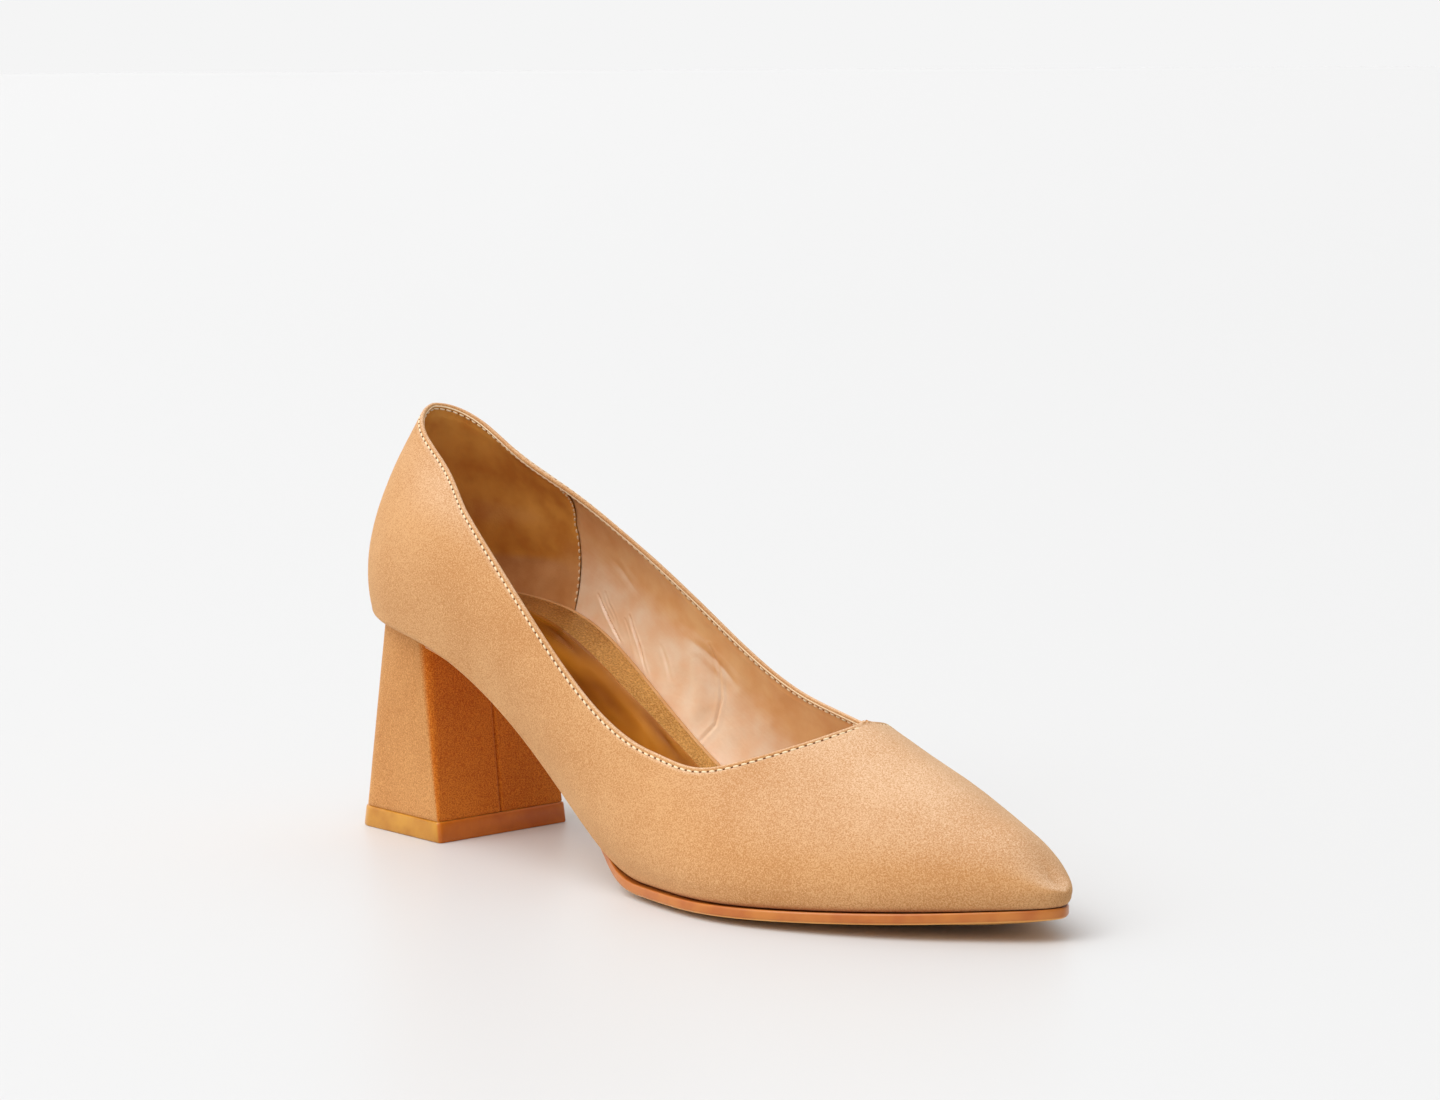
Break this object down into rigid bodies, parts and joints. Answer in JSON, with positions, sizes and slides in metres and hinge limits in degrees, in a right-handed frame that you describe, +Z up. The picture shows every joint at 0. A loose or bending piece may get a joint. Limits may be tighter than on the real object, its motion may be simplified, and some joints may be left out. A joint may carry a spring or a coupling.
{
  "type": "block heel pump",
  "caption": "Women's pointed-toe pump with a low cut collar, a suede-covered flared block heel, a thin resin sole and a padded sock inside.",
  "frame": {"origin": "middle of the heel's contact with the floor", "axes": "+X towards the toe, +Y towards the inner (medial) side of the foot, +Z up"},
  "size_m": [0.241, 0.0799, 0.1156],
  "materials": {
    "suede": "tan faux suede, short even nap",
    "heel_suede": "the same faux suede, stretched over the heel block",
    "sole_resin": "moulded tan resin, half gloss",
    "sock_gold": "metallic gold-brown synthetic",
    "heel_tip_resin": "slightly translucent tan resin"
  },
  "bodies": {
    "root": {"upper": "suede", "outsole": "sole_resin", "insole": "sock_gold", "heel": "heel_suede", "top_piece": "heel_tip_resin"}
  },
  "joints": []
}
